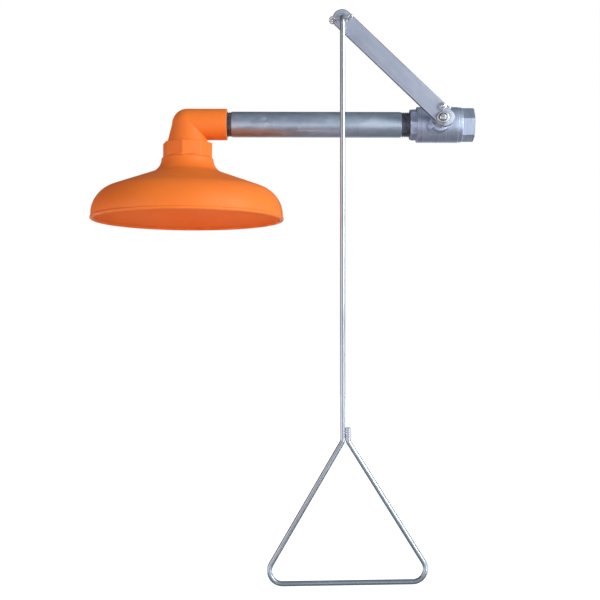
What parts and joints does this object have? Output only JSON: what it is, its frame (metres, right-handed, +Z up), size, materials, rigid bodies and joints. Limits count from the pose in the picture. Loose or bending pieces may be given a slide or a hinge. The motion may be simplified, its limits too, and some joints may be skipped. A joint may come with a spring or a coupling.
{
  "type": "emergency safety shower",
  "caption": "Overhead drench shower: bell head on a pipe arm, opened by a lever valve with a hanging rod and triangle handle.",
  "frame": {"origin": "centre of the supply valve's threaded inlet, at its face", "axes": "+X points out of the inlet, towards the supply; +Z is up; the lever, rod and handle are on the -Y side"},
  "size_m": [0.4983, 0.251, 0.7256],
  "materials": {
    "orange_plastic": "satin moulded plastic",
    "galvanised_steel": "galvanised",
    "plated_brass": "satin nickel plate",
    "stainless": "satin stainless steel",
    "white_plastic": "plain",
    "black_rubber": "plain"
  },
  "bodies": {
    "arm": {"shower_head": "orange_plastic", "inlet_elbow": "orange_plastic", "elbow_gasket": "black_rubber", "flow_control": "white_plastic", "flow_ring": "black_rubber", "deflector": "white_plastic", "deflector_screws": "stainless", "arm_pipe": "galvanised_steel", "valve_body": "plated_brass", "valve_retainer": "plated_brass", "retainer_oring": "black_rubber", "inlet_seat": "white_plastic", "outlet_seat": "white_plastic", "stem_thrust_washer": "white_plastic", "stem_packing": "white_plastic", "gland_nut": "plated_brass"},
    "lever": {"ball": "stainless", "stem": "stainless", "lever": "stainless", "lever_lock_washer": "stainless", "lever_nut": "stainless", "stop_screw": "stainless", "stop_nut": "stainless"},
    "pull_rod": {"pull_rod": "stainless", "handle_weld": "stainless", "rod_washers": "stainless", "split_pins": "stainless"}
  },
  "joints": [
    {"name": "lever_turn", "type": "hinge", "parent": "arm", "child": "lever", "pos_m": [-0.046, 0, 0], "axis": [0, -1, 0], "range_deg": [0, 90]},
    {"name": "rod_pivot", "type": "hinge", "parent": "lever", "child": "pull_rod", "pos_m": [-0.17306, -0.0444, 0.12755], "axis": [0, -1, 0], "range_deg": [-90, 0]}
  ],
  "couplings": [
    {"joint": "rod_pivot", "follows": "lever_turn", "ratio": -1}
  ]
}
